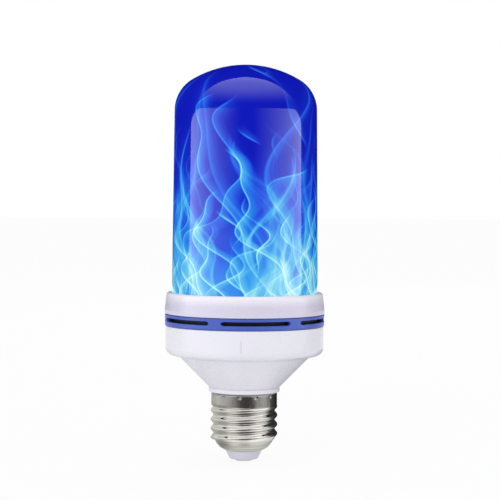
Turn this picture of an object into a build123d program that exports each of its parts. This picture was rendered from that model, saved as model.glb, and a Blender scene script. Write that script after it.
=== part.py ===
from build123d import *
from math import atan2, ceil, cos, degrees, hypot, pi, radians, sin, sqrt, tan
import os

# Flame effect LED lamp on an Edison screw cap. All sizes are in millimetres.
# The origin is on the lamp's axis at the foot of the centre contact, and +Z runs up to the dome.
# The front of the lamp faces -Y, and the light board's seam faces the back.

# Fits
fit_gap = 0.1  # play between moulded pieces, all round
leg_gap = 0.15  # play of a leg or lead in its hole
flex_glue = 0.05  # adhesive under the flexible board
crimp_gap = 0.05  # play of the punch marks in the housing's groove

# Screw cap: a rolled metal shell with a round thread
thread_crest_diameter = 26.3
thread_depth = 1.05
thread_pitch = 3.62
thread_length = 12.2
thread_fade = 0.9  # height in which the thread runs out, at each end
thread_sections_a_turn = 8
cap_sheet = 0.3
band_inset = 0.2  # from the thread's crest in to the band
cap_band_height = 5.2
cap_end_inset = 1.75  # from the thread's crest in to the rounded end
cap_end_height = 3.9
cap_end_radius = 7.5
cap_mouth_diameter = 14.4
crimp_count = 12
crimp_ball_radius = 0.75
crimp_depth = 0.35
crimp_drop = 1.35  # from the shell's upper edge down to the punch marks
crimp_turn = 21.7  # the first punch mark's angle from the front

# Insulator and centre contact
nose_height = 3.4
nose_tip_diameter = 9.9
plug_height = 3.3  # how far the insulator fills the cap's rounded end
contact_height = 0.8
contact_diameter = 8.2
contact_flat_diameter = 5.6
contact_edge_radius = 1.9
rivet_diameter = 2.6
rivet_bore_diameter = 0.9
rivet_bore_floor = 1.4
rivet_stand = 0.6  # how far the hollow rivet stands out of the insulator, inside the cap

# Housing: a white bowl on a conical neck, with a spigot inside the cap
neck_overhang = 1.0  # how far the neck stands out past the cap
neck_height = 1.9
cone_height = 12.1
shelf_width = 5.2  # from the bowl's side in to the cone
shelf_rise = 1.0
bowl_diameter = 62.0
bowl_height = 11.0
bowl_corner_radius = 3.0
shelf_corner_radius = 1.2
neck_corner_radius = 0.5
housing_wall = 1.8
spigot_wall = 1.5
spigot_depth = 15.3  # from the neck down into the cap
notch_width = 1.5
notch_height = 3.2

# Vent ring: a blue band with long slots, clipped between the housing and the collar
ring_stand = 0.3  # how far the ring stands out of the bowl
ring_height = 4.8
ring_lip_thickness = 1.1
ring_edge_radius = 0.4
ring_lip_height = 2.0
vent_count = 6
vent_height = 1.4
vent_angle = 50.7
vent_turn = 8.7  # the front slot's middle, from the front towards +X
snap_height = 0.25  # how far the snap beads stand out
snap_width = 0.8

# Collar: a white ring that holds the cover's rim down
collar_height = 8.2
collar_stand = 0.1  # how far its foot stands out of the ring
collar_taper = 0.8  # how far it draws in from foot to top
collar_straight = 1.6  # height of the straight band above its foot
collar_wall = 1.5
collar_edge_radius = 0.9

# Cover: a domed tube with a little draft
cover_draft = 0.6
cover_side_height = 77.6
cover_crown_radius = 41.0
cover_shoulder_radius = 14.0
cover_wall = 1.6
cover_rim_width = 1.05
cover_rim_gap = 0.15  # play between the cover's rim and the collar's side
cover_rim_height = 1.7

# LED carrier: a tube on a foot flange, screwed to three posts of the housing
carrier_setback = 7.9  # from the cover's foot in to the tube
carrier_wall = 1.2
carrier_rise = 0.8  # how far the tube stands up past the cover's straight side
flange_gap = 2.9  # from the bowl's inside in to the flange's edge
carrier_flange_thickness = 1.6
carrier_seat_width = 2.0
carrier_seat_thickness = 1.4
carrier_window_width = 8.0
carrier_window_height = 3.6
carrier_window_rise = 8.5  # from the flange's underside to the window's middle
seam_rib_width = 1.2
seam_rib_height = 0.5
flange_vent_count = 6
flange_vent_angle = 34.0
flange_vent_width = 2.4
post_count = 3
post_inset = 3.1  # from the flange's edge in to the screws
post_diameter = 5.4
post_drop = 3.3  # from the housing's rim down to the posts' tops
post_hole_depth = 7.0

# Screws that hold the carrier
screw_shank_diameter = 2.4
screw_length = 6.5
screw_tip_length = 0.9
screw_head_diameter = 4.6
screw_head_height = 1.5
screw_head_edge_radius = 0.6
screw_slot_width = 0.7
screw_slot_depth = 0.7
screw_hole_gap = 0.15
screw_pilot_gap = 0.03

# Flexible board and its chips
flex_thickness = 0.2
flex_drop = 1.5  # from the carrier's top edge down to the board
flex_window_gap = 1.7  # from the carrier's window up to the board
flex_seam_angle = 8.0
led_column_count = 11
led_row_count = 9
led_end_margin = 5.9  # from each end of the board to the nearest row's middle
led_width = 2.8
led_length = 3.5
led_height = 0.7
led_window_width = 1.9
led_window_length = 2.6
led_window_depth = 0.15

# Board on top of the carrier
top_board_thickness = 1.6
top_led_count = 6
top_led_inset = 7.6  # from the carrier's inside in to the ring of chips
top_lead_spacing = 4.0
top_lead_setback = 6.5  # how far the leads' holes lie behind the axis
top_lead_stick_out = 0.3

# Driver board, which stands upright in two rails of the housing
board_thickness = 1.6
board_tongue_width = 16.0
board_tongue_height = 18.6
board_width = 27.0
board_height = 12.5
board_foot_gap = 2.2  # from the spigot's end up to the board's lower edge
rail_width = 5.0
rail_reach = 2.0  # how far each rail overlaps the board's edge
rail_back = 1.6  # rail outside the board's edge
rail_height = 9.0

# Places on the driver board: sideways from the axis, and up from the tongue's or the wide part's foot
mains_lead_offset = 3.0
mains_lead_rise = 2.0
resistor_offset = -4.5
resistor_rise = 8.8
rectifier_offset = 3.3
rectifier_rise = 10.0
controller_offset = 0.0
controller_rise = 8.6
input_capacitor_offset = -6.0
input_capacitor_rise = 7.5
output_capacitor_offset = 5.0
output_capacitor_rise = 7.3
inductor_offset = -0.5
inductor_rise = 4.7
driver_chip_offset = 6.6
driver_chip_rise = 2.9
output_lead_drop = 1.5  # from the board's top edge down to the output leads' holes
led_lead_offsets = (0.4, 2.8)
top_lead_offsets = (10.0, 12.2)

# Components on the driver board
leg_diameter = 0.6
leg_stick_out = 1.0
leg_pitch = 3.5
input_capacitor_diameter = 8.0
input_capacitor_length = 11.5
output_capacitor_diameter = 6.3
output_capacitor_length = 8.0
capacitor_groove_depth = 0.35
capacitor_groove_rise = 1.6
capacitor_edge_radius = 0.5
inductor_diameter = 6.5
inductor_length = 8.0
inductor_flange_thickness = 1.1
inductor_winding_diameter = 5.8
resistor_diameter = 3.0
resistor_length = 7.5
resistor_end_diameter = 3.4
resistor_end_length = 1.2
resistor_leg_pitch = 11.0
resistor_leg_bend_radius = 0.9
resistor_lift = 0.4
rectifier_width = 3.9
rectifier_length = 4.7
rectifier_height = 2.4
rectifier_pin_pitch = 2.5
chip_width = 3.9
chip_height = 1.45
chip_pin_pitch = 1.27
driver_chip_length = 4.9
controller_length = 9.9
chip_standoff = 0.1
chip_pin_width = 0.45
chip_pin_reach = 1.05
chip_pin_foot = 0.6
chip_pin_thickness = 0.2

# Leads
mains_lead_diameter = 0.8
neutral_lead_gap = 0.25  # from the neutral lead's end to the shell's crest
output_lead_diameter = 1.0
lead_stand = 3.6  # from the driver board's middle to the output leads' first bend
flex_lead_offset = 2.7  # of each lead on the flexible board, from its seam
flex_lead_length = 2.4  # soldered on the flexible board

# Levels, from the centre contact upwards
z_nose = contact_height
z_cap = z_nose + nose_height
z_plug_top = z_cap + plug_height
z_cap_end = z_cap + cap_end_height
z_thread = z_cap_end + thread_fade
z_thread_top = z_thread + thread_length
z_band = z_thread_top + thread_fade
z_cap_top = z_band + cap_band_height
z_crimp = z_cap_top - crimp_drop
z_neck_top = z_cap_top + neck_height
z_cone_top = z_neck_top + cone_height
z_rim = z_cone_top + shelf_rise + bowl_height
z_ring_top = z_rim + ring_height
z_vent = z_rim + ring_height / 2
z_lower_snap = z_rim - ring_lip_height / 2
z_upper_snap = z_ring_top + ring_lip_height / 2
z_cover_foot = z_ring_top + ring_lip_height
z_cover_seat = z_cover_foot + cover_rim_height + fit_gap  # the collar's shoulder over the cover's rim
z_collar_top = z_ring_top + collar_height
z_cover_shoulder = z_cover_foot + cover_side_height
z_post_top = z_rim - post_drop
z_flange_top = z_post_top + carrier_flange_thickness
z_window = z_post_top + carrier_window_rise
z_carrier_top = z_cover_shoulder + carrier_rise
z_top_seat = z_carrier_top - top_board_thickness
z_flex = z_window + carrier_window_height / 2 + flex_window_gap
z_first_leds = z_flex + led_end_margin
z_spigot = z_cap_top - spigot_depth
z_board = z_spigot + board_foot_gap
z_board_wide = z_board + board_tongue_height
z_board_top = z_board_wide + board_height
z_output_leads = z_board_top - output_lead_drop
z_mains_leads = z_board + mains_lead_rise

# Radii that more than one piece uses
crest_radius = thread_crest_diameter / 2
root_radius = crest_radius - thread_depth
thread_throw = thread_depth / 2
thread_mean_radius = crest_radius - thread_throw
thread_sections = ceil(thread_sections_a_turn * thread_length / thread_pitch)
band_radius = crest_radius - band_inset
mouth_radius = cap_mouth_diameter / 2
crimp_centre_radius = band_radius + crimp_ball_radius - crimp_depth
spigot_radius = root_radius - cap_sheet - fit_gap
spigot_bore_radius = spigot_radius - spigot_wall
bowl_radius = bowl_diameter / 2
bowl_inner_radius = bowl_radius - housing_wall
neck_radius = band_radius + neck_overhang
cone_top_radius = bowl_radius - shelf_width
lower_lip_radius = bowl_inner_radius - fit_gap
ring_radius = bowl_radius + ring_stand
ring_bore_radius = lower_lip_radius - ring_lip_thickness
collar_foot_radius = ring_radius + collar_stand
collar_top_radius = collar_foot_radius - collar_taper
collar_inner_radius = collar_foot_radius - collar_wall
cover_foot_radius = collar_inner_radius - cover_rim_gap - cover_rim_width
carrier_radius = cover_foot_radius - carrier_setback
carrier_inner_radius = carrier_radius - carrier_wall
flange_radius = bowl_inner_radius - flange_gap
flex_inner_radius = carrier_radius + flex_glue
flex_radius = flex_inner_radius + flex_thickness
post_circle_radius = flange_radius - post_inset
board_face = board_thickness / 2  # the driver board stands on the lamp's axis
board_half_width = board_width / 2
back_angle = 90.0
front_angle = -90.0

# The flexible board starts and ends at the seam, with its columns and rows of chips evenly between
flex_height = z_carrier_top - flex_drop - z_flex
led_column_angle = (360 - flex_seam_angle) / led_column_count
led_row_pitch = (flex_height - 2 * led_end_margin) / (led_row_count - 1)


def corner(profile, across, up):
    """The vertex of a profile that lies nearest to a place."""
    return profile.vertices().sort_by_distance((across, up))[0]


def soft_radii(points):
    """The arc at each corner of a lead, as large as its two runs allow."""
    radii = []
    for before, here, after in zip(points, points[1:], points[2:]):
        arriving = Vector(*here) - Vector(*before)
        leaving = Vector(*after) - Vector(*here)
        half_turn = radians(arriving.get_angle(leaving)) / 2
        radii.append(0.45 * min(arriving.length, leaving.length) / tan(half_turn))
    return radii


def lead_tube(points, diameter):
    """A lead along straight runs joined by arcs."""
    with BuildPart() as tube:
        with BuildLine() as route:
            FilletPolyline(*points, radius=soft_radii(points))
        with BuildSketch(Plane(origin=route.line @ 0, z_dir=route.line % 0)):
            Circle(diameter / 2)
        sweep()
    return tube.part


# Cap shell: rolled sheet, open at the top, with its lower edge turned in round the insulator.
# A ring of punch marks under the upper edge locks it on the housing's spigot.
def thread_centre(z):
    """Where the thread's circle has its middle at height z: off the axis, turned once a pitch from
    the thread's foot, where its crest faces -X."""
    turn = pi + 2 * pi * (z - z_thread) / thread_pitch
    return Location((thread_throw * cos(turn), thread_throw * sin(turn)))


def cap_form(inset):
    """The cap's form, closed and solid, drawn in by inset. A circle off the axis, carried round it
    once for each pitch, makes the round thread, which runs out at both ends."""
    end_radius = crest_radius - cap_end_inset - inset
    with BuildPart() as form:
        for section in range(thread_sections + 1):
            z_section = z_thread + thread_length * section / thread_sections
            with BuildSketch(Plane.XY.offset(z_section)):
                with Locations(thread_centre(z_section)):
                    Circle(thread_mean_radius - inset)
        loft()
        with BuildSketch(Plane.XY.offset(z_cap_end)):
            Circle(end_radius)
        with BuildSketch(Plane.XY.offset(z_thread)):
            with Locations(thread_centre(z_thread)):
                Circle(thread_mean_radius - inset)
        loft()
        with BuildSketch(Plane.XY.offset(z_thread_top)):
            with Locations(thread_centre(z_thread_top)):
                Circle(thread_mean_radius - inset)
        with BuildSketch(Plane.XY.offset(z_band)):
            Circle(band_radius - inset)
        loft()
        with BuildSketch(Plane.XY.offset(z_band)):
            Circle(band_radius - inset)
        extrude(amount=cap_band_height)
        with BuildSketch(Plane.XZ):
            with BuildLine():
                RadiusArc((mouth_radius, z_cap + inset), (end_radius, z_cap_end), -cap_end_radius)
                Polyline((end_radius, z_cap_end), (0, z_cap_end), (0, z_cap + inset),
                         (mouth_radius, z_cap + inset))
            make_face()
        revolve(axis=Axis.Z)
    return form.part


cap_inside = cap_form(cap_sheet)

with BuildPart() as crimp_nubs:
    with Locations((0, 0, z_crimp)):
        with PolarLocations(crimp_centre_radius, crimp_count, start_angle=front_angle + crimp_turn):
            Sphere(crimp_ball_radius + cap_sheet)
    with Locations((0, 0, z_crimp)):
        Cylinder(band_radius, 2 * band_radius, mode=Mode.INTERSECT)

with BuildPart() as cap_shell:
    add(cap_form(0))
    add(cap_inside, mode=Mode.SUBTRACT)
    with BuildSketch(Plane.XY.offset(z_cap)):
        Circle(mouth_radius)
    extrude(amount=cap_sheet, mode=Mode.SUBTRACT)
    add(crimp_nubs.part)
    with Locations((0, 0, z_crimp)):
        with PolarLocations(crimp_centre_radius, crimp_count, start_angle=front_angle + crimp_turn):
            Sphere(crimp_ball_radius, mode=Mode.SUBTRACT)

# Insulator: it fills the cap's rounded end and comes out of its mouth as a blunt nose.
with BuildPart() as cap_insulator:
    with BuildSketch(Plane.XY.offset(z_cap)):
        Circle(band_radius)
    extrude(amount=plug_height)
    add(cap_inside, mode=Mode.INTERSECT)
    with BuildSketch(Plane.XZ):
        with BuildLine():
            Polyline((0, z_nose), (nose_tip_diameter / 2, z_nose), (mouth_radius, z_cap),
                     (mouth_radius, z_cap + cap_sheet), (0, z_cap + cap_sheet), close=True)
        make_face()
    revolve(axis=Axis.Z)
    with BuildSketch(Plane.XY.offset(z_nose)):
        Circle(rivet_diameter / 2)
    extrude(amount=nose_height + plug_height, mode=Mode.SUBTRACT)

# Centre contact: a shallow dish with a hollow rivet, in which the live lead is soldered.
with BuildPart() as centre_contact:
    with BuildSketch(Plane.XZ):
        with BuildLine():
            flat_edge = (contact_flat_diameter / 2, 0)
            rim_edge = (contact_diameter / 2, z_nose)
            RadiusArc(flat_edge, rim_edge, -contact_edge_radius)
            Polyline(rim_edge, (rivet_diameter / 2, z_nose),
                     (rivet_diameter / 2, z_plug_top + rivet_stand),
                     (rivet_bore_diameter / 2, z_plug_top + rivet_stand),
                     (rivet_bore_diameter / 2, rivet_bore_floor), (0, rivet_bore_floor), (0, 0), flat_edge)
        make_face()
    revolve(axis=Axis.Z)

# Housing: the bowl, its cone and neck, and the spigot, with three posts for the carrier's screws
# and two slotted rails for the driver board.
cone_flare = (cone_top_radius - neck_radius) / cone_height
cone_wall_across = housing_wall * hypot(1, cone_flare)
cone_inner_foot = neck_radius - cone_wall_across
shelf_slope = shelf_rise / shelf_width
z_bore_top = z_neck_top + (spigot_bore_radius - cone_inner_foot) / cone_flare
z_floor = z_cone_top + housing_wall
floor_inner_radius = cone_inner_foot + (z_floor - z_neck_top) * cone_flare
z_floor_edge = z_floor + (bowl_inner_radius - floor_inner_radius) * shelf_slope
post_angle_start = back_angle

with BuildPart() as housing_cavity:
    with BuildSketch(Plane.XZ) as cavity_profile:
        with BuildLine():
            Polyline((0, z_spigot), (spigot_bore_radius, z_spigot), (spigot_bore_radius, z_bore_top),
                     (floor_inner_radius, z_floor), (bowl_inner_radius, z_floor_edge),
                     (bowl_inner_radius, z_rim), (0, z_rim), close=True)
        make_face()
        fillet(corner(cavity_profile, bowl_inner_radius, z_floor_edge), bowl_corner_radius - housing_wall)
    revolve(axis=Axis.Z)
    with BuildSketch(Plane.XY.offset(z_neck_top)):
        with PolarLocations(post_circle_radius, post_count, start_angle=post_angle_start):
            Circle(post_diameter / 2)
    extrude(amount=z_post_top - z_neck_top, mode=Mode.SUBTRACT)
    with BuildSketch(Plane.XY.offset(z_neck_top)):
        with PolarLocations(board_half_width + (rail_back - rail_reach) / 2, 2):
            Rectangle(rail_reach + rail_back, rail_width)
    extrude(amount=z_board_wide + rail_height - z_neck_top, mode=Mode.SUBTRACT)

with BuildPart() as lower_housing:
    with BuildSketch(Plane.XZ) as housing_profile:
        with BuildLine():
            Polyline((0, z_spigot), (spigot_radius, z_spigot), (spigot_radius, z_band),
                     (band_radius - cap_sheet - fit_gap, z_band),
                     (band_radius - cap_sheet - fit_gap, z_cap_top), (neck_radius, z_cap_top),
                     (neck_radius, z_neck_top), (cone_top_radius, z_cone_top),
                     (bowl_radius, z_cone_top + shelf_rise), (bowl_radius, z_rim), (0, z_rim), close=True)
        make_face()
        fillet(corner(housing_profile, neck_radius, z_cap_top), neck_corner_radius)
        fillet(corner(housing_profile, cone_top_radius, z_cone_top), shelf_corner_radius)
        fillet(corner(housing_profile, bowl_radius, z_cone_top + shelf_rise), bowl_corner_radius)
    revolve(axis=Axis.Z)
    add(housing_cavity.part, mode=Mode.SUBTRACT)
    with BuildSketch(Plane.XY.offset(z_board_wide)):
        with PolarLocations(board_half_width + (fit_gap - rail_reach) / 2, 2):
            Rectangle(rail_reach + fit_gap, board_thickness + 2 * fit_gap)
    extrude(amount=rail_height, mode=Mode.SUBTRACT)
    with BuildSketch(Plane.XY.offset(z_post_top)):
        with PolarLocations(post_circle_radius, post_count, start_angle=post_angle_start):
            Circle(screw_shank_diameter / 2 + screw_pilot_gap)
    extrude(amount=-post_hole_depth, mode=Mode.SUBTRACT)
    with BuildSketch(Plane.XZ):
        with BuildLine():
            Polyline((bowl_inner_radius, z_lower_snap - snap_width / 2 - fit_gap),
                     (bowl_inner_radius + snap_height, z_lower_snap),
                     (bowl_inner_radius, z_lower_snap + snap_width / 2 + fit_gap),
                     (bowl_inner_radius - fit_gap, z_lower_snap), close=True)
        make_face()
    revolve(axis=Axis.Z, mode=Mode.SUBTRACT)
    with BuildSketch(Plane.XY.offset(z_spigot)):
        with Locations((-(spigot_bore_radius + spigot_radius) / 2, 0)):
            Rectangle(2 * (spigot_radius - spigot_bore_radius), notch_width)
    extrude(amount=notch_height, mode=Mode.SUBTRACT)
    with Locations((0, 0, z_crimp)):
        Torus(crimp_centre_radius, crimp_ball_radius + cap_sheet + crimp_gap, mode=Mode.SUBTRACT)

# Vent ring: its lower lip clips into the housing and its upper lip into the collar.
upper_lip_radius = collar_inner_radius - fit_gap
half_vent = radians(vent_angle / 2)
vent_reach = collar_foot_radius / cos(half_vent)

with BuildSketch() as vent_wedge:
    with BuildLine():
        Polyline((0, 0), (vent_reach * cos(half_vent), -vent_reach * sin(half_vent)),
                 (vent_reach * cos(half_vent), vent_reach * sin(half_vent)), close=True)
    make_face()

with BuildPart() as vent_ring:
    with BuildSketch(Plane.XZ) as ring_profile:
        with BuildLine():
            Polyline((ring_bore_radius, z_rim - ring_lip_height),
                     (lower_lip_radius, z_rim - ring_lip_height),
                     (lower_lip_radius, z_lower_snap - snap_width / 2),
                     (lower_lip_radius + snap_height, z_lower_snap),
                     (lower_lip_radius, z_lower_snap + snap_width / 2),
                     (lower_lip_radius, z_rim), (ring_radius, z_rim), (ring_radius, z_ring_top),
                     (upper_lip_radius, z_ring_top), (upper_lip_radius, z_upper_snap - snap_width / 2),
                     (upper_lip_radius + snap_height, z_upper_snap),
                     (upper_lip_radius, z_upper_snap + snap_width / 2), (upper_lip_radius, z_cover_foot),
                     (ring_bore_radius, z_cover_foot), close=True)
        make_face()
        fillet(corner(ring_profile, ring_radius, z_rim), ring_edge_radius)
        fillet(corner(ring_profile, ring_radius, z_ring_top), ring_edge_radius)
    revolve(axis=Axis.Z)
    with BuildSketch(Plane.XY.offset(z_vent - vent_height / 2)):
        with PolarLocations(0, vent_count, start_angle=front_angle + vent_turn):
            add(vent_wedge.sketch)
    extrude(amount=vent_height, mode=Mode.SUBTRACT)

# Collar: its shoulder traps the cover's rim on the vent ring's upper lip.
collar_bore_radius = cover_foot_radius + fit_gap

with BuildPart() as upper_collar:
    with BuildSketch(Plane.XZ) as collar_profile:
        with BuildLine():
            Polyline((collar_inner_radius, z_ring_top), (collar_foot_radius, z_ring_top),
                     (collar_foot_radius, z_ring_top + collar_straight),
                     (collar_top_radius, z_collar_top), (collar_bore_radius, z_collar_top),
                     (collar_bore_radius, z_cover_seat), (collar_inner_radius, z_cover_seat),
                     (collar_inner_radius, z_upper_snap + snap_width / 2 + fit_gap),
                     (collar_inner_radius + snap_height, z_upper_snap),
                     (collar_inner_radius, z_upper_snap - snap_width / 2 - fit_gap), close=True)
        make_face()
        fillet(corner(collar_profile, collar_top_radius, z_collar_top), collar_edge_radius)
    revolve(axis=Axis.Z)


# Cover: a long drafted side, a round shoulder and a flatter crown, in one moulding.
def cover_form(inset):
    """The cover's form, closed and solid, drawn in by inset. The shoulder arc is tangent to the side,
    and the crown arc is tangent to the shoulder and has its centre on the axis."""
    draft = radians(cover_draft)
    side_top_radius = cover_foot_radius - cover_side_height * tan(draft)
    shoulder_centre = (side_top_radius - cover_shoulder_radius * cos(draft),
                       z_cover_shoulder - cover_shoulder_radius * sin(draft))
    centre_distance = cover_crown_radius - cover_shoulder_radius
    crown_drop = sqrt(centre_distance ** 2 - shoulder_centre[0] ** 2)
    crown_centre = (0, shoulder_centre[1] - crown_drop)
    meeting_angle = degrees(atan2(crown_drop, shoulder_centre[0]))
    with BuildPart() as form:
        with BuildSketch(Plane.XZ):
            with BuildLine():
                shoulder = CenterArc(shoulder_centre, cover_shoulder_radius - inset, cover_draft,
                                     meeting_angle - cover_draft)
                crown = CenterArc(crown_centre, cover_crown_radius - inset, meeting_angle,
                                  90 - meeting_angle)
                Polyline(crown @ 1, (0, z_cover_foot),
                         (cover_foot_radius - inset / cos(draft), z_cover_foot), shoulder @ 0)
            make_face()
        revolve(axis=Axis.Z)
    return form.part


with BuildPart() as flame_cover:
    add(cover_form(0))
    with BuildSketch(Plane.XY.offset(z_cover_foot)):
        Circle(cover_foot_radius + cover_rim_width)
    extrude(amount=cover_rim_height)
    add(cover_form(cover_wall), mode=Mode.SUBTRACT)

# LED carrier: the tube, its foot flange with air slots and screw holes, the ledge for the top board,
# a window for the leads and a rib that the flexible board's two edges stand against.
with BuildPart() as led_carrier:
    with BuildSketch(Plane.XZ):
        with BuildLine():
            ledge_radius = carrier_inner_radius - carrier_seat_width
            z_ledge = z_top_seat - carrier_seat_thickness
            Polyline((carrier_inner_radius, z_post_top), (flange_radius, z_post_top),
                     (flange_radius, z_flange_top), (carrier_radius, z_flange_top),
                     (carrier_radius, z_carrier_top), (carrier_inner_radius, z_carrier_top),
                     (carrier_inner_radius, z_top_seat), (ledge_radius, z_top_seat),
                     (ledge_radius, z_ledge), (carrier_inner_radius, z_ledge - carrier_seat_width),
                     close=True)
        make_face()
    revolve(axis=Axis.Z)
    with BuildSketch(Plane.XY.offset(z_post_top)):
        with PolarLocations(post_circle_radius, post_count, start_angle=post_angle_start):
            Circle(screw_shank_diameter / 2 + screw_hole_gap)
    extrude(amount=carrier_flange_thickness, mode=Mode.SUBTRACT)
    with BuildSketch(Plane.XY.offset(z_post_top)):
        with PolarLocations(0, flange_vent_count):
            SlotArc(CenterArc((0, 0), post_circle_radius, -flange_vent_angle / 2, flange_vent_angle),
                    flange_vent_width)
    extrude(amount=carrier_flange_thickness, mode=Mode.SUBTRACT)
    with Locations((0, carrier_radius, z_window)):
        Box(carrier_window_width, 4 * carrier_wall, carrier_window_height, mode=Mode.SUBTRACT)
    with Locations((0, carrier_radius - seam_rib_height / 2, z_flex + flex_height / 2)):
        Box(seam_rib_width, 2 * seam_rib_height + seam_rib_height, flex_height)

# Screws: slotted pan heads on plain shanks, one at each post.
with BuildPart() as carrier_screw:
    with BuildSketch(Plane.XZ) as screw_profile:
        with BuildLine():
            shank_radius = screw_shank_diameter / 2
            z_screw_tip = z_flange_top - screw_length
            Polyline((0, z_screw_tip), (shank_radius, z_screw_tip + screw_tip_length),
                     (shank_radius, z_flange_top), (screw_head_diameter / 2, z_flange_top),
                     (screw_head_diameter / 2, z_flange_top + screw_head_height),
                     (0, z_flange_top + screw_head_height), close=True)
        make_face()
        fillet(corner(screw_profile, screw_head_diameter / 2, z_flange_top + screw_head_height),
               screw_head_edge_radius)
    revolve(axis=Axis.Z)
    with Locations((0, 0, z_flange_top + screw_head_height)):
        Box(screw_head_diameter, screw_slot_width, 2 * screw_slot_depth, mode=Mode.SUBTRACT)

with BuildPart() as carrier_screws:
    with PolarLocations(post_circle_radius, post_count, start_angle=post_angle_start):
        add(carrier_screw.part)

# Flexible board: wrapped round the carrier, with its seam at the back.
with BuildPart() as flex_board:
    with BuildSketch(Plane.XY.offset(z_flex)):
        Circle(flex_radius)
        Circle(flex_inner_radius, mode=Mode.SUBTRACT)
        with BuildLine():
            seam_reach = 2 * flex_radius
            half_seam = seam_reach * tan(radians(flex_seam_angle / 2))
            Polyline((0, 0), (half_seam, seam_reach), (-half_seam, seam_reach), close=True)
        make_face(mode=Mode.SUBTRACT)
    extrude(amount=flex_height)

# LED chips: a white block with a shallow window in its face.
with BuildPart() as led_chip:
    with BuildSketch():
        Rectangle(led_width, led_length)
    extrude(amount=led_height)
    with BuildSketch(Plane.XY.offset(led_height)):
        Rectangle(led_window_width, led_window_length)
    extrude(amount=-led_window_depth, mode=Mode.SUBTRACT)

led_seats = []
for column in range(led_column_count):
    turn = radians(back_angle + (flex_seam_angle + led_column_angle) / 2 + column * led_column_angle)
    for row in range(led_row_count):
        seat = (flex_radius * cos(turn), flex_radius * sin(turn), z_first_leds + row * led_row_pitch)
        across = (-sin(turn), cos(turn), 0)
        outwards = (cos(turn), sin(turn), 0)
        led_seats.append(Plane(origin=seat, x_dir=across, z_dir=outwards))

with BuildPart() as flame_leds:
    with Locations(*led_seats):
        add(led_chip.part)

# Top board: a disc that lies on the carrier's ledge, level with its edge, with its own chips.
with BuildPart() as top_board:
    with BuildSketch(Plane.XY.offset(z_top_seat)):
        Circle(carrier_inner_radius - fit_gap)
        with Locations((0, top_lead_setback)):
            with GridLocations(top_lead_spacing, 0, 2, 1):
                Circle(output_lead_diameter / 2 + leg_gap, mode=Mode.SUBTRACT)
    extrude(amount=top_board_thickness)

with BuildPart() as top_leds:
    with Locations((0, 0, z_carrier_top)):
        add(led_chip.part)
        with PolarLocations(carrier_inner_radius - top_led_inset, top_led_count):
            add(led_chip.part)

# Driver board: a wide part in the rails and a tongue down the spigot, with a hole for each leg.
z_resistor = z_board + resistor_rise
z_rectifier = z_board + rectifier_rise
z_controller = z_board + controller_rise
z_input_capacitor = z_board_wide + input_capacitor_rise
z_output_capacitor = z_board_wide + output_capacitor_rise
z_inductor = z_board_wide + inductor_rise
z_driver_chip = z_board_wide + driver_chip_rise

leg_holes = [(resistor_offset, z_resistor + side * resistor_leg_pitch / 2) for side in (-1, 1)]
for offset, level in ((input_capacitor_offset, z_input_capacitor),
                      (output_capacitor_offset, z_output_capacitor), (inductor_offset, z_inductor)):
    leg_holes += [(offset + side * leg_pitch / 2, level) for side in (-1, 1)]

with BuildPart() as driver_board:
    with BuildSketch(Plane.XZ):
        with BuildLine():
            tongue = board_tongue_width / 2
            Polyline((-tongue, z_board), (tongue, z_board), (tongue, z_board_wide),
                     (board_half_width, z_board_wide), (board_half_width, z_board_top),
                     (-board_half_width, z_board_top), (-board_half_width, z_board_wide),
                     (-tongue, z_board_wide), close=True)
        make_face()
        with Locations(*leg_holes):
            Circle(leg_diameter / 2 + leg_gap, mode=Mode.SUBTRACT)
        with Locations((-mains_lead_offset, z_mains_leads), (mains_lead_offset, z_mains_leads)):
            Circle(mains_lead_diameter / 2 + leg_gap, mode=Mode.SUBTRACT)
        with Locations(*[(offset, z_output_leads) for offset in led_lead_offsets + top_lead_offsets]):
            Circle(output_lead_diameter / 2 + leg_gap, mode=Mode.SUBTRACT)
    extrude(amount=board_face, both=True)


def front_face(offset, level):
    """A plane on the board's front, with its axis pointing away from the board."""
    return Plane(origin=(offset, -board_face, level), x_dir=(1, 0, 0), z_dir=(0, -1, 0))


def back_face(offset, level):
    """A plane on the board's back, with its axis pointing away from the board."""
    return Plane(origin=(offset, board_face, level), x_dir=(-1, 0, 0), z_dir=(0, 1, 0))


# Electrolytic capacitors: a can with a rolled groove near its foot, on two legs through the board.
def can_capacitor(face, diameter, length):
    radius = diameter / 2
    with BuildPart() as can:
        with BuildSketch(Plane.XZ) as can_profile:
            with BuildLine():
                Polyline((0, 0), (radius, 0), (radius, capacitor_groove_rise - capacitor_groove_depth),
                         (radius - capacitor_groove_depth, capacitor_groove_rise),
                         (radius, capacitor_groove_rise + capacitor_groove_depth), (radius, length),
                         (0, length), close=True)
            make_face()
            fillet(corner(can_profile, radius, length), capacitor_edge_radius)
        revolve(axis=Axis.Z)
        with BuildSketch():
            with GridLocations(leg_pitch, 0, 2, 1):
                Circle(leg_diameter / 2)
        extrude(amount=-(board_thickness + leg_stick_out))
    return can.part.moved(face.location)


with BuildPart() as input_capacitor:
    add(can_capacitor(front_face(input_capacitor_offset, z_input_capacitor),
                      input_capacitor_diameter, input_capacitor_length))

with BuildPart() as output_capacitor:
    add(can_capacitor(front_face(output_capacitor_offset, z_output_capacitor),
                      output_capacitor_diameter, output_capacitor_length))

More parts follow.
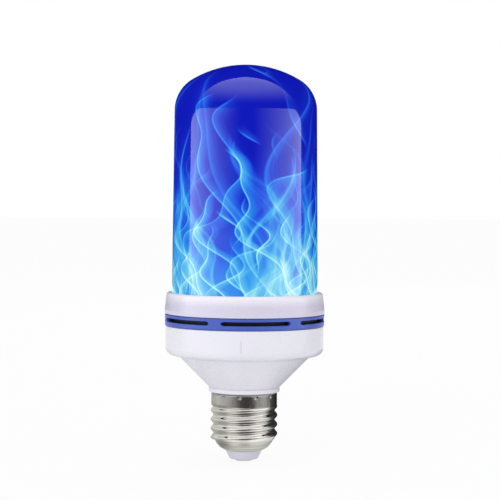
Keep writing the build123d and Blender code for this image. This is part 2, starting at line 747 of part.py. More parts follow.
# Inductor: a drum core with its winding between two flanges.
with BuildPart() as power_inductor:
    with BuildSketch(back_face(inductor_offset, z_inductor)):
        Circle(inductor_diameter / 2)
    extrude(amount=inductor_flange_thickness)
    with BuildSketch(back_face(inductor_offset, z_inductor).offset(inductor_flange_thickness)):
        Circle(inductor_winding_diameter / 2)
    extrude(amount=inductor_length - 2 * inductor_flange_thickness)
    with BuildSketch(back_face(inductor_offset, z_inductor).offset(inductor_length)):
        Circle(inductor_diameter / 2)
    extrude(amount=-inductor_flange_thickness)
    with BuildSketch(back_face(inductor_offset, z_inductor)):
        with GridLocations(leg_pitch, 0, 2, 1):
            Circle(leg_diameter / 2)
    extrude(amount=-(board_thickness + leg_stick_out))

# Fuse resistor: it lies along the tongue, a little off the board, with both legs bent through it.
resistor_axis = -(board_face + resistor_lift + resistor_end_diameter / 2)

with BuildPart() as fuse_resistor:
    with Locations((resistor_offset, resistor_axis, z_resistor)):
        Cylinder(resistor_diameter / 2, resistor_length)
        with Locations((0, 0, (resistor_length - resistor_end_length) / 2),
                       (0, 0, (resistor_end_length - resistor_length) / 2)):
            Cylinder(resistor_end_diameter / 2, resistor_end_length)
    for side in (-1, 1):
        with BuildLine() as leg:
            leg_level = z_resistor + side * resistor_leg_pitch / 2
            FilletPolyline((resistor_offset, resistor_axis, z_resistor + side * resistor_length / 2),
                           (resistor_offset, resistor_axis, leg_level),
                           (resistor_offset, board_face + leg_stick_out, leg_level),
                           radius=resistor_leg_bend_radius)
        with BuildSketch(Plane(origin=leg.line @ 0, z_dir=(0, 0, side))):
            Circle(leg_diameter / 2)
        sweep(path=leg.line)


# Surface-mounted packages: a block just off the board, with bent pins along both long sides.
def flat_package(face, width, length, height, pins, pitch):
    with BuildPart() as package:
        with Locations((0, 0, chip_standoff)):
            Box(width, length, height - chip_standoff, align=(Align.CENTER, Align.CENTER, Align.MIN))
        with BuildSketch(Plane.XZ) as pin_profile:
            with BuildLine():
                side = width / 2
                knee = side + chip_pin_reach - chip_pin_foot
                pin_top = height / 2
                Polyline((0, pin_top), (knee - chip_pin_thickness, pin_top), (knee, chip_pin_thickness),
                         (side + chip_pin_reach, chip_pin_thickness), (side + chip_pin_reach, 0),
                         (knee - chip_pin_thickness, 0),
                         (knee - 2 * chip_pin_thickness, pin_top - chip_pin_thickness),
                         (0, pin_top - chip_pin_thickness), close=True)
            make_face()
            mirror(about=Plane.YZ)
        with Locations(*[(0, (pin - (pins - 1) / 2) * pitch, 0) for pin in range(pins)]):
            add(extrude(pin_profile.sketch, amount=chip_pin_width / 2, both=True, mode=Mode.PRIVATE))
    return package.part.moved(face.location)


with BuildPart() as bridge_rectifier:
    add(flat_package(front_face(rectifier_offset, z_rectifier), rectifier_width, rectifier_length,
                     rectifier_height, 2, rectifier_pin_pitch))

with BuildPart() as driver_chip:
    add(flat_package(back_face(driver_chip_offset, z_driver_chip), chip_width, driver_chip_length,
                     chip_height, 4, chip_pin_pitch))

with BuildPart() as flame_controller:
    add(flat_package(back_face(controller_offset, z_controller), chip_width, controller_length,
                     chip_height, 8, chip_pin_pitch))

# Mains leads: the live lead runs down into the hollow rivet, and the neutral lead out through the
# spigot's notch to a thread crest of the shell.
lead_end = board_face + leg_stick_out
z_neutral_end = z_thread + thread_pitch  # a thread crest faces -X at each whole pitch
shell_inside = root_radius - cap_sheet
neutral_end = crest_radius - cap_sheet - neutral_lead_gap
mains_bend = -3.4
z_rivet_mouth = z_plug_top + rivet_stand + 0.4 * (z_spigot - z_plug_top)
z_neutral_turn = z_neutral_end + 0.16 * (z_mains_leads - z_neutral_end)

with BuildPart() as live_lead:
    add(lead_tube([(mains_lead_offset, lead_end, z_mains_leads),
                   (mains_lead_offset, mains_bend, z_mains_leads),
                   (0.53 * mains_lead_offset, 0.65 * mains_bend, z_spigot),
                   (0, 0, z_rivet_mouth), (0, 0, z_cap)], mains_lead_diameter))

with BuildPart() as neutral_lead:
    add(lead_tube([(-mains_lead_offset, lead_end, z_mains_leads),
                   (-mains_lead_offset, mains_bend, z_mains_leads),
                   (-0.39 * shell_inside, 0.7 * mains_bend, z_neutral_turn),
                   (-0.645 * shell_inside, 0, z_neutral_end), (-neutral_end, 0, z_neutral_end)],
                  mains_lead_diameter))

# Output leads: one pair leaves the carrier's window and lies on the flexible board's lower edge,
# and the other pair climbs inside the carrier to the top board.
flex_lead_radius = flex_radius + output_lead_diameter / 2
flex_lead_back = sqrt(flex_lead_radius ** 2 - flex_lead_offset ** 2)
z_window_sill = z_window - carrier_window_height / 2 + output_lead_diameter
lead_climb = z_carrier_top - z_output_leads

with BuildPart() as led_leads:
    for side, offset in zip((-1, 1), led_lead_offsets):
        add(lead_tube([(offset, -lead_end, z_output_leads), (offset, lead_stand, z_output_leads),
                       (offset, 0.265 * carrier_inner_radius, z_output_leads + 0.055 * lead_climb),
                       (side * flex_lead_offset, 0.61 * carrier_inner_radius,
                        z_output_leads + 0.134 * lead_climb),
                       (side * flex_lead_offset, 0.85 * carrier_inner_radius, z_window_sill + 0.2),
                       (side * flex_lead_offset, flex_lead_back, z_window_sill),
                       (side * flex_lead_offset, flex_lead_back, z_flex + flex_lead_length)],
                      output_lead_diameter))

with BuildPart() as top_board_leads:
    for side, offset in zip((-1, 1), top_lead_offsets):
        place = side * top_lead_spacing / 2
        add(lead_tube([(offset, lead_end, z_output_leads), (offset, -lead_stand, z_output_leads),
                       (0.95 * offset, -1.22 * lead_stand, z_output_leads + 0.065 * lead_climb),
                       (place + 1.25 * top_lead_spacing, 0.08 * top_lead_setback,
                        z_output_leads + 0.234 * lead_climb),
                       (place + 0.25 * top_lead_spacing, 1.15 * top_lead_setback,
                        z_output_leads + 0.593 * lead_climb),
                       (place, top_lead_setback, z_output_leads + 0.847 * lead_climb),
                       (place, top_lead_setback, z_carrier_top + top_lead_stick_out)],
                      output_lead_diameter))

# Each piece becomes one labelled STEP file.
pieces = {
    "flame_cover": flame_cover,
    "upper_collar": upper_collar,
    "vent_ring": vent_ring,
    "lower_housing": lower_housing,
    "cap_shell": cap_shell,
    "cap_insulator": cap_insulator,
    "centre_contact": centre_contact,
    "led_carrier": led_carrier,
    "carrier_screws": carrier_screws,
    "flex_board": flex_board,
    "flame_leds": flame_leds,
    "top_board": top_board,
    "top_leds": top_leds,
    "driver_board": driver_board,
    "bridge_rectifier": bridge_rectifier,
    "fuse_resistor": fuse_resistor,
    "input_capacitor": input_capacitor,
    "output_capacitor": output_capacitor,
    "power_inductor": power_inductor,
    "driver_chip": driver_chip,
    "flame_controller": flame_controller,
    "live_lead": live_lead,
    "neutral_lead": neutral_lead,
    "led_leads": led_leads,
    "top_board_leads": top_board_leads,
}

os.makedirs("parts", exist_ok=True)
for name, piece in pieces.items():
    piece.part.label = name
    export_step(piece.part, f"parts/{name}.step")
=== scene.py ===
import bpy
import numpy as np
from mathutils import Matrix, Vector


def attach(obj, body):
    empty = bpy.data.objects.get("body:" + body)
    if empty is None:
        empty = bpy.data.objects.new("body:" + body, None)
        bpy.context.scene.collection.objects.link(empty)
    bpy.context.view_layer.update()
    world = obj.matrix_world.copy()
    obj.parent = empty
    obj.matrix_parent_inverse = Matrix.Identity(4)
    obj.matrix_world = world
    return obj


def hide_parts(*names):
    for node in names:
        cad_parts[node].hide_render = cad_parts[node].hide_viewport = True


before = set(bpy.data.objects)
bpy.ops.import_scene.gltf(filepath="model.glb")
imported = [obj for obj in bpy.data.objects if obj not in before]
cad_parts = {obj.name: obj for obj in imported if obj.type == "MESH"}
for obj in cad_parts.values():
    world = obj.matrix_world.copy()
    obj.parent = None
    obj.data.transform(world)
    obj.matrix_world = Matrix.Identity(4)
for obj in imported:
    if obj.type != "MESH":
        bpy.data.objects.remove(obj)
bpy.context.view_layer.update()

# Screw cap shell. Brass sheet, nickel plated, drawn to a cup and rolled to a round right-hand thread. Its
# plain upper band is gripped on the housing by a row of punch marks; its rounded end holds the insulator.
MM = 0.001
SMOOTH_BELOW = np.radians(35)
cap_columns = 360
sheet = 0.3
z_mouth = 4.2
mouth_radius = 7.2
z_end = 8.1
end_radius = 11.4
end_arc_radius = 7.5
end_steps = 16
pitch = 3.62
thread_mean_radius = 12.625
thread_throw = 0.525
z_thread = 9.0
z_thread_full = 9.05
z_thread_fades = 21.1
thread_row = 0.115
z_band = 22.1
z_band_plain = 22.3
band_radius = 12.95
band_row = 0.4
z_mark_rows = (24.9, 27.0)
z_marks = 25.95
mark_rows = 16
mark_count = 12
mark_turn = np.radians(21.7)
mark_ball_radius = 0.95
mark_centre_radius = 13.5
z_lip = (26.35, 27.45)
lip_draw_in = 0.42
z_last_row = 27.18
z_cap_top = 27.3
rows_within = 60
nickel_colour = (244, 241, 233)


def ease(low, high, value):
    """A soft step: nought below low, one above high, and 3 t squared less 2 t cubed between them."""
    t = np.clip((value - low) / (high - low), 0, 1)
    return t * t * (3 - 2 * t)


def skin(name, points, ring=False, **marks):
    """A closed skin over a grid of points in millimetres, rows by columns by three. Each four neighbours
    make a face, and the last column meets the first. In a ring the last row meets the first as well;
    otherwise the first and the last row are one point each, where a fan of triangles closes the skin. Each
    grid in marks becomes a value on the points."""
    rows, columns = points.shape[:2]
    inner = slice(None) if ring else slice(1, -1)

    def listed(grid):
        """A grid as one list, in which a row that is one point stands once, at the end."""
        body = grid[inner].reshape(-1, *grid.shape[2:])
        return body if ring else np.concatenate([body, grid[:1, 0], grid[-1:, 0]])

    number = np.arange(points[inner, :, 0].size).reshape(-1, columns)
    beside, above = np.roll(number, -1, axis=1), np.roll(number, -1, axis=0)
    faces = np.stack([number, beside, np.roll(beside, -1, axis=0), above], axis=-1)
    faces = (faces if ring else faces[:-1]).reshape(-1, 4)
    fans = np.zeros((0, 3), int)
    if not ring:
        first, last = np.full(columns, number.size), np.full(columns, number.size + 1)
        fans = np.concatenate([np.stack([beside[0], number[0], first], axis=-1),
                               np.stack([number[-1], beside[-1], last], axis=-1)])
    places = listed(points) * MM
    corners = np.concatenate([faces.ravel(), fans.ravel()])
    starts = np.concatenate([np.arange(len(faces)) * 4, len(faces) * 4 + np.arange(len(fans)) * 3])
    mesh = bpy.data.meshes.new(name)
    mesh.vertices.add(len(places))
    mesh.vertices.foreach_set("co", places.astype(np.float32).ravel())
    mesh.loops.add(len(corners))
    mesh.loops.foreach_set("vertex_index", corners.astype(np.int32))
    mesh.polygons.add(len(starts))
    mesh.polygons.foreach_set("loop_start", starts.astype(np.int32))
    mesh.update(calc_edges=True)
    mesh.validate()
    mesh.shade_smooth()
    mesh.set_sharp_from_angle(angle=SMOOTH_BELOW)
    for mark, grid in marks.items():
        values = mesh.attributes.new(mark, "FLOAT", "POINT").data
        values.foreach_set("value", listed(grid).astype(np.float32).ravel())
    piece = bpy.data.objects.new(name, mesh)
    bpy.context.scene.collection.objects.link(piece)
    return piece


def round_axis(radius, height, columns):
    """Points of a turned shape. Column number c stands at c equal steps round from the front, towards +X:
    its x is the radius times the sine of that turn, and its y is less the radius times the cosine. The
    radius and the height are one value a row, or a grid."""
    turn = np.arange(columns) * 2 * np.pi / columns
    radius, height = np.atleast_2d(radius), np.atleast_2d(height)
    radius, height = (grid.T if grid.shape[0] == 1 else grid for grid in (radius, height))
    shape = (radius.shape[0], columns)
    across = np.broadcast_to(radius * np.sin(turn), shape)
    away = np.broadcast_to(-radius * np.cos(turn), shape)
    up = np.broadcast_to(height + 0 * turn, shape)
    return np.stack([across, away, up], axis=-1)


def arc(start, end, radius, steps):
    """Points on an arc from start to end, that bulges to the right of the way from one to the other. Its
    centre is left of the middle, by the other leg of the triangle of the radius and half the way."""
    start, end = np.array(start, float), np.array(end, float)
    middle, half = (start + end) / 2, (end - start) / 2
    left = np.array([-half[1], half[0]]) / np.hypot(*half)
    centre = middle + left * np.sqrt(radius ** 2 - half @ half)
    from_angle = np.arctan2(*(start - centre)[::-1])
    sweep = 2 * np.arcsin(np.hypot(*half) / radius)
    turn = from_angle + sweep * np.linspace(0, 1, steps + 1)
    return centre + radius * np.stack([np.cos(turn), np.sin(turn)], axis=-1)


def shell_radius(height, turn):
    """The shell's outside. In the thread it is the mean radius plus the throw times the cosine of the angle
    past the crest. It eases to the rounded end below and to the band above, whose top edge draws in by a
    soft step. Where it is nearer than a ball's radius to a punch mark, it lies on that ball."""
    past_crest = turn + np.pi / 2 - 2 * np.pi * (height - z_thread) / pitch
    thread = thread_mean_radius + thread_throw * np.cos(past_crest)
    foot = ease(z_end, z_thread_full, height)
    head = ease(z_thread_fades, z_band_plain, height)
    radius = end_radius * (1 - foot) + foot * (thread * (1 - head) + band_radius * head)
    radius = radius - lip_draw_in * ease(*z_lip, height)
    between = 2 * np.pi / mark_count
    offset = (turn - mark_turn + between / 2) % between - between / 2
    distance = np.hypot(offset * band_radius, height - z_marks)
    ball = mark_centre_radius - np.sqrt(np.clip(mark_ball_radius ** 2 - distance ** 2, 0, None))
    return np.where(distance < mark_ball_radius, np.minimum(radius, ball), radius)


# The profile runs up the outside from the mouth, over the top edge, down the inside and back to the mouth.
cap_turn = np.arange(cap_columns) * 2 * np.pi / cap_columns
end_rows = arc((mouth_radius, z_mouth), (end_radius, z_end), end_arc_radius, end_steps)
side_heights = np.concatenate([np.arange(z_end + 0.06, z_band, thread_row),
                               np.arange(z_band, z_mark_rows[0], band_row),
                               np.linspace(*z_mark_rows, mark_rows), [z_last_row]])[:, None]
heights_within = np.linspace(z_cap_top, z_end + 0.4, rows_within)[:, None]
end_within = [(10.9, z_end), (mouth_radius + 2.4, z_mouth + 1.3), (mouth_radius, z_mouth + sheet)]
shell_heights = np.concatenate([end_rows[:, 1], side_heights[:, 0], heights_within[:, 0],
                                [z for _, z in end_within]])
shell_radii = np.concatenate([np.broadcast_to(end_rows[:, :1], (len(end_rows), cap_columns)),
                              shell_radius(side_heights, cap_turn),
                              shell_radius(heights_within, cap_turn) - sheet,
                              np.repeat([[r] for r, _ in end_within], cap_columns, axis=1)])


class Wire:
    """A shader socket to reckon with. Each operator adds the Math node of its name, so 1 - mask works."""

    def __init__(self, finish, socket):
        self.finish, self.socket = finish, socket

    def reckon(self, operation, *values):
        """A Math node with this operation on the values."""
        return self.finish.node("ShaderNodeMath", {"operation": operation}, values)

    def __add__(self, other):
        return self.reckon("ADD", self, other)

    def __sub__(self, other):
        return self.reckon("SUBTRACT", self, other)

    def __rsub__(self, other):
        return self.reckon("SUBTRACT", other, self)

    def __mul__(self, other):
        return self.reckon("MULTIPLY", self, other)

    def __truediv__(self, other):
        return self.reckon("DIVIDE", self, other)

    def __abs__(self):
        return self.reckon("ABSOLUTE", self)

    __radd__ = __add__
    __rmul__ = __mul__

    def step(self, low, high):
        """Nought below low, one above high and a soft step between."""
        return self.finish.node("ShaderNodeMapRange", {"interpolation_type": "SMOOTHSTEP"},
                                [self, low, high, 0, 1])


class Finish:
    """A material in the making. node() adds a node of any type: its settings come first, then the values or
    links of its sockets, by place or by name, and it gives back the output asked for."""

    def __init__(self, name, tree=None, **constants):
        if tree is None:
            self.material = bpy.data.materials.new(name)
            self.material.use_nodes = True
            tree = self.material.node_tree
            self.skin = tree.nodes["Principled BSDF"]
        self.tree = tree
        if constants:
            self.surface(**constants)

    def feed(self, node, sockets):
        """Sets or links each of the node's sockets that is given."""
        for key, value in (sockets.items() if isinstance(sockets, dict) else enumerate(sockets)):
            if isinstance(value, Wire):
                self.tree.links.new(value.socket, node.inputs[key])
            else:
                node.inputs[key].default_value = value

    def node(self, kind, settings=None, sockets=(), output=0):
        made = self.tree.nodes.new(kind)
        for key, value in (settings or {}).items():
            if key == "stops":
                stops = made.color_ramp.elements
                stops.remove(stops[1])
                stops[0].position, stops[0].color = value[0]
                for place, colour in value[1:]:
                    stops.new(place).color = colour
            else:
                setattr(made, key, value)
        self.feed(made, sockets)
        return Wire(self, made.outputs[output])

    def surface(self, **sockets):
        """Feeds the material's own shader, by its sockets' names with a low line for each space."""
        self.feed(self.skin, {key.replace("_", " "): value for key, value in sockets.items()})

    def show(self, shader):
        """Shows another shader in place of the material's own."""
        self.tree.links.new(shader.socket, self.tree.nodes["Material Output"].inputs["Surface"])

    def place(self):
        """Where the surface is in the object's own frame, in metres."""
        return self.node("ShaderNodeTexCoord", output="Object")

    def axis(self, letter):
        """One of the place's three numbers, in millimetres."""
        return self.node("ShaderNodeSeparateXYZ", sockets=[self.place()], output=letter) * 1000

    def mark(self, name):
        """One of the values that the skin's points carry."""
        return self.node("ShaderNodeAttribute", {"attribute_name": name}, output="Fac")

    def noise(self, size, detail=2, stretch=(1, 1, 1), shift=0.0):
        """Noise from nought to one, whose grains are about size millimetres across before the stretch."""
        scale = [1 / (MM * size * s) for s in stretch]
        where = self.node("ShaderNodeVectorMath", {"operation": "MULTIPLY_ADD"},
                          [self.place(), scale, (shift,) * 3])
        return self.node("ShaderNodeTexNoise", sockets={"Vector": where, "Scale": 1.0, "Detail": detail})

    def mixed(self, factor, one, other):
        """One colour at factor nought and the other at one."""
        return self.node("ShaderNodeMix", {"data_type": "RGBA"}, {0: factor, 6: one, 7: other}, output=2)

    def bumped(self, height, distance, strength=1.0):
        """The normal over a height field, distance millimetres deep."""
        return self.node("ShaderNodeBump", sockets={"Strength": strength, "Distance": distance * MM,
                                                    "Height": height})


def srgb(red, green, blue):
    """A screen colour from 0 to 255 as the linear one that shaders use. With c the value over 255, it is
    (c + 0.055) over 1.055 to the power 2.4, and c over 12.92 where c is 0.04045 or less."""
    c = np.array([red, green, blue]) / 255
    linear = np.where(c > 0.04045, ((c + 0.055) / 1.055) ** 2.4, c / 12.92)
    return (*[float(v) for v in linear], 1.0)


def shaded(colour, share):
    """A colour made darker or lighter by a share of itself."""
    return tuple(float(np.clip(c * share, 0, 255)) for c in colour)


def wear(piece, material, slot, *nodes):
    """Gives a finished piece its material and its ride, and hides the CAD nodes that it stands for. The slot
    is not used.
    """
    piece.data.materials.append(material)
    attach(piece, "root")
    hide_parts(*nodes)


# The plating shows fine lines up the band, where it was drawn, and round the thread, where it was rolled.
# The rounded end is rubbed duller, the band is a little wavy, and its colour is painted darker as shade.
nickel = Finish("bright_nickel", Metallic=1.0, IOR=1.5)
height = nickel.axis("Z")
on_band = height.step(z_band - 0.6, z_band + 0.3)
on_end = 1 - height.step(z_end - 0.4, z_thread + 0.4)
drawn = nickel.noise(0.16, 3, stretch=(1, 1, 60))
rolled = nickel.noise(0.14, 3, stretch=(60, 60, 1))
streaks = nickel.noise(0.5, 2, stretch=(40, 40, 1))
waves = nickel.noise(1.7, 1, stretch=(1, 1, 2.2))
cloud = nickel.noise(3.5, 3)
lines = drawn * on_band + rolled * (1 - on_band)
cap_tone = nickel.mixed(cloud.step(0.35, 0.7), srgb(*nickel_colour), srgb(*shaded(nickel_colour, 0.95)))
cap_tone = nickel.mixed(lines * 0.3, cap_tone, srgb(*shaded(nickel_colour, 0.85)))
# Painted shade: the band's colour is a darker copy of the nickel colour, for a darker reflection.
cap_tone = nickel.mixed(on_band, cap_tone, srgb(*shaded(nickel_colour, 0.75)))
satin_tone = nickel.mixed(streaks.step(0.3, 0.7), srgb(176, 176, 168), srgb(204, 203, 196))
nickel.surface(Base_Color=nickel.mixed(on_end, cap_tone, satin_tone),
               Roughness=0.075 + 0.03 * lines + 0.03 * cloud + 0.22 * on_end + 0.06 * on_band,
               Normal=nickel.bumped(lines + waves * on_band * 50, 0.006, 0.5))
wear(skin("cap_shell_rolled", round_axis(shell_radii, shell_heights, cap_columns), ring=True),
     nickel.material, "nickel", "cap_shell")

# Insulator. Pale opal moulding that fills the cap's rounded end and comes out of its mouth as a blunt nose,
# with the centre contact riveted through it.
insulator_columns = 192
rivet_radius = 1.3
z_nose = 0.8
nose_radius = 5.5
nose_rounding = 0.8
HOLD = 0.12


def rounded(corners, steps=6):
    """A closed profile through corners, given as radius, height and rounding. A rounded corner becomes an
    arc that touches both its straight runs: its centre is on the line that halves the corner, the rounding
    over the sine of half the corner away. One more point past each end holds the flat's shading flat."""
    out = []
    for number, (*here, rounding) in enumerate(corners):
        here = np.array(here, float)
        if not rounding:
            out.append(here[None])
            continue
        ways = [np.array(corners[(number + side) % len(corners)][:2]) - here for side in (-1, 1)]
        before, after = (way / np.hypot(*way) for way in ways)
        half = np.arccos(np.clip(before @ after, -1, 1)) / 2
        middle = (before + after) / np.hypot(*(before + after))
        centre = here + middle * rounding / np.sin(half)
        start, end = (here + way * rounding / np.tan(half) - centre for way in (before, after))
        first = np.arctan2(start[1], start[0])
        swing = (np.arctan2(end[1], end[0]) - first + np.pi) % (2 * np.pi) - np.pi
        turn = first + swing * np.linspace(0, 1, steps + 1)
        bend = centre + rounding * np.stack([np.cos(turn), np.sin(turn)], axis=-1)
        out.append(np.concatenate([[bend[0] + before * HOLD], bend, [bend[-1] + after * HOLD]]))
    return np.concatenate(out)


def ring_piece(name, corners, columns, steps=6):
    """A turned ring with a rounded profile."""
    profile = rounded(corners, steps)
    return skin(name, round_axis(profile[:, 0], profile[:, 1], columns), ring=True)


opal_colour = (222, 220, 235)
opal = Finish("opal_insulator")
cloud, fine = opal.noise(9, 2), opal.noise(0.5, 2)
opal.surface(Base_Color=opal.mixed(cloud, srgb(*opal_colour), srgb(*shaded(opal_colour, 0.975))),
             Roughness=0.36 + 0.08 * fine, Normal=opal.bumped(fine, 0.006, 0.6))
nose_corners = [(rivet_radius, z_nose, 0), (nose_radius, z_nose, nose_rounding),
                (mouth_radius - 0.02, 4.15, 0), (mouth_radius, 4.5, 0), (9.5, 5.9, 0), (10.4, 7.5, 0),
                (rivet_radius, 7.5, 0)]
wear(ring_piece("insulator_nose", nose_corners, insulator_columns),
     opal.material, "insulator", "cap_insulator")

# Centre contact. A tinned dish with a hollow rivet through the insulator. The CAD solid is right as it is
# and stays, and it gets a bright finish that is duller in small patches.


def dress(material, *nodes):
    """Gives CAD nodes, whose shapes stay, a material."""
    for node in nodes:
        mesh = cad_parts[node].data
        mesh.materials.clear()
        mesh.materials.append(material)


tin = Finish("tinned_contact", Metallic=1.0)
rub = tin.noise(0.5, 3)
tin.surface(Base_Color=tin.mixed(rub, srgb(205, 204, 200), srgb(176, 174, 168)), Roughness=0.24 + 0.2 * rub,
            Normal=tin.bumped(rub, 0.01, 0.5))
dress(tin.material, "centre_contact")

# Driver. An upright board in two rails of the housing, with its parts soldered through it and two leads
# down to the cap. All of it is closed in, so the CAD solids stay and get the finishes of such parts.


def coated(name, colour, other, size, roughness):
    """A coat or a board whose two tones mix in grains of the size given, and whose relief follows them."""
    finish = Finish(name)
    grain = finish.noise(size, 3)
    finish.surface(Base_Color=finish.mixed(grain.step(0.35, 0.65), srgb(*colour), srgb(*other)),
                   Roughness=roughness + 0.12 * grain, Normal=finish.bumped(grain, 0.01, 0.5))
    return finish.material


dress(coated("green_solder_resist", (28, 94, 52), (20, 74, 42), 1.2, 0.3), "driver_board")
dress(coated("black_epoxy", (24, 24, 26), (38, 38, 40), 0.12, 0.5),
      "bridge_rectifier", "driver_chip", "flame_controller")
dress(coated("shrink_sleeve", (20, 26, 62), (30, 38, 82), 2.5, 0.25), "input_capacitor", "output_capacitor")
dress(coated("wound_ferrite", (58, 50, 44), (150, 92, 48), 0.3, 0.45), "power_inductor")
dress(coated("resistor_lacquer", (62, 118, 158), (50, 98, 138), 0.6, 0.35), "fuse_resistor")
dress(coated("red_insulation", (172, 22, 20), (150, 16, 16), 1.5, 0.4), "live_lead", "led_leads")
dress(coated("black_insulation", (20, 20, 22), (32, 32, 34), 1.5, 0.4), "neutral_lead")
dress(coated("white_insulation", (222, 222, 218), (206, 206, 200), 1.5, 0.4), "top_board_leads")

# Housing. A gloss white moulding: a bowl on a cone, with a neck that stands on the cap and a spigot in it.
# A faint mark of the mould's parting runs up the front of the bowl.
housing_columns = 288
spigot_bore = 10.2
z_spigot = 12.0
neck_radius = 13.95
z_neck = 29.2
neck_crease = 0.6
cone_top_radius = 25.8
z_cone_top = 41.3
bowl_radius = 31.0
z_bowl_foot = 42.3
bowl_bore = 29.2
z_rim = 53.3
x_parting = -1.2
parting_width = (0.1, 0.45)
z_parting_foot = (44.4, 45.4)
z_parting_top = (49.0, 50.5)
white_colour = (236, 235, 243)

white = Finish("gloss_white_moulding", IOR=1.46)
flow, fine = white.noise(14, 2), white.noise(0.6, 2)
across, deep, up = (white.axis(letter) for letter in "XYZ")
parting = 1 - abs(across - x_parting).step(*parting_width)
parting = parting * up.step(*z_parting_foot) * (1 - up.step(*z_parting_top)) * (1 - deep.step(-1, 0))
white_tone = white.mixed(flow, srgb(*white_colour), srgb(231, 230, 240))
white.surface(Base_Color=white.mixed(parting * 0.5, white_tone, srgb(196, 192, 208)),
              Roughness=0.24 + 0.08 * fine, Normal=white.bumped(fine - parting * 6, 0.006, 0.6))
spigot_corners = [(spigot_bore, z_spigot, 0), (11.7, z_spigot, 0), (11.7, 22.3, 0), (12.5, 22.3, 0),
                  (12.5, 25.0, 0), (12.15, 25.0, 0), (12.15, z_cap_top, 0)]
neck_corners = [(neck_radius, z_cap_top, 0.5), (neck_radius, z_neck - 0.45, 0.15),
                (neck_radius - neck_crease, z_neck - 0.02, 0.06), (neck_radius + 0.25, z_neck + 0.3, 0.2)]
bowl_corners = [(cone_top_radius, z_cone_top, 1.2), (bowl_radius, z_bowl_foot, 3.0),
                (bowl_radius, z_rim, 0.25), (bowl_bore, z_rim, 0), (bowl_bore, 44.0, 1.2),
                (24.0, 43.1, 0), (spigot_bore, 28.9, 0)]
wear(ring_piece("housing_bowl", spigot_corners + neck_corners + bowl_corners, housing_columns, 9),
     white.material, "white_housing", "lower_housing")

# Light unit. A white carrier tube on a flange, three screws, the flexible board round it with its columns
# of chips, and the small board on top. It is behind the cover, and its CAD solids stay.
steel = Finish("zinc_plated_screws", Metallic=1.0)
scuff = steel.noise(0.3, 3)
steel.surface(Base_Color=steel.mixed(scuff, srgb(188, 188, 192), srgb(150, 150, 156)),
              Roughness=0.28 + 0.2 * scuff)
dress(steel.material, "carrier_screws")
dress(coated("matt_white_moulding", (228, 228, 228), (220, 220, 222), 6, 0.5), "led_carrier")
dress(coated("white_solder_resist", (238, 238, 234), (228, 228, 222), 2, 0.35), "flex_board", "top_board")
dress(coated("chip_phosphor", (238, 226, 160), (226, 206, 120), 0.5, 0.3), "flame_leds", "top_leds")

# Vent ring. A blue moulding clipped between the housing and the collar, with six long slots that let the
# air out, made here as deep recesses painted near black as the shade inside them. Each slot is rounded at
# its ends, and a fine groove runs along both edges of the ring, painted darker as shade.
ring_columns = 864
ring_radius = 31.3
z_ring_top = 58.1
z_slots = 55.95
slot_count = 6
slot_turn = np.radians(8.7)
slot_half_angle = np.radians(25.35)
slot_half_height = 0.68
slot_taper = np.radians(1.8)
slot_edge = 0.12
slot_depth = 2.9
slot_rows = 1.05
edge_groove = 0.32
groove_width = (0.16, 0.3)
groove_rows = 0.55

# A slot's half height falls off towards its ends by the root of the share of the taper that is left.
slot_heights = np.linspace(z_slots - slot_rows, z_slots + slot_rows, 36)
ring_heights = np.concatenate([np.linspace(z_rim, z_rim + groove_rows, 7), slot_heights,
                               np.linspace(z_ring_top - groove_rows, z_ring_top, 7)])[:, None]
ring_turn = np.arange(ring_columns) * 2 * np.pi / ring_columns
half_share = np.pi / slot_count
from_slot = abs((ring_turn - slot_turn + half_share) % (2 * half_share) - half_share)
slot_open = slot_half_height * np.sqrt(np.clip((slot_half_angle - from_slot) / slot_taper, 0, 1))
in_slot = ease(-slot_edge, slot_edge, slot_open - abs(ring_heights - z_slots)) * (slot_open > 0)
edge_distance = np.minimum(ring_heights - z_rim, z_ring_top - ring_heights)
in_groove = np.broadcast_to(1 - ease(*groove_width, edge_distance), in_slot.shape)
ring_lips = [(29.5, 58.1), (29.5, 60.1), (28.0, 60.1), (28.0, 51.3), (29.1, 51.3), (29.1, 53.3)]
ring_radii = np.concatenate([ring_radius - slot_depth * in_slot - edge_groove * in_groove,
                             np.repeat([[r] for r, _ in ring_lips], ring_columns, axis=1)])
skin_heights = np.concatenate([ring_heights[:, 0], [z for _, z in ring_lips]])
no_mark = np.zeros((len(ring_lips), ring_columns))

blue = Finish("blue_moulding", IOR=1.46)
painted_slot_shade = blue.mark("slot")
flow, fine = blue.noise(7, 2), blue.noise(0.5, 2)
ring_colour = blue.mixed(flow, srgb(60, 86, 184), srgb(70, 96, 192))
# Painted shade: the grooves along both edges of the ring are darkened.
ring_colour = blue.mixed(blue.mark("edge") * 0.85, ring_colour, srgb(34, 48, 118))
# Painted shade: the slots' recesses are painted near black-blue, as the dark inside of a through slot.
blue.surface(Base_Color=blue.mixed(painted_slot_shade.step(0.1, 0.6), ring_colour, srgb(16, 22, 52)),
             Roughness=0.3 + 0.08 * fine + 0.3 * painted_slot_shade, Normal=blue.bumped(fine, 0.006, 0.6))
# The slot and groove marks that the skin carries set where the painted shade goes.
wear(skin("vent_ring_slotted", round_axis(ring_radii, skin_heights, ring_columns), ring=True,
          slot=np.concatenate([in_slot, no_mark]), edge=np.concatenate([in_groove, no_mark])),
     blue.material, "blue_ring", "vent_ring")

# Collar. The white ring that holds the cover's rim down. It draws in a little from foot to top, is rounded
# over its upper edge, and is of a slightly cooler white than the housing. Its upper part is painted
# lighter, as painted light from above.
collar_columns = 288
collar_foot_radius = 31.4
collar_top_radius = 30.6
collar_bore = 28.8
collar_groove_bore = 29.9
z_collar_shoulder = 61.9
z_collar_top = 66.3

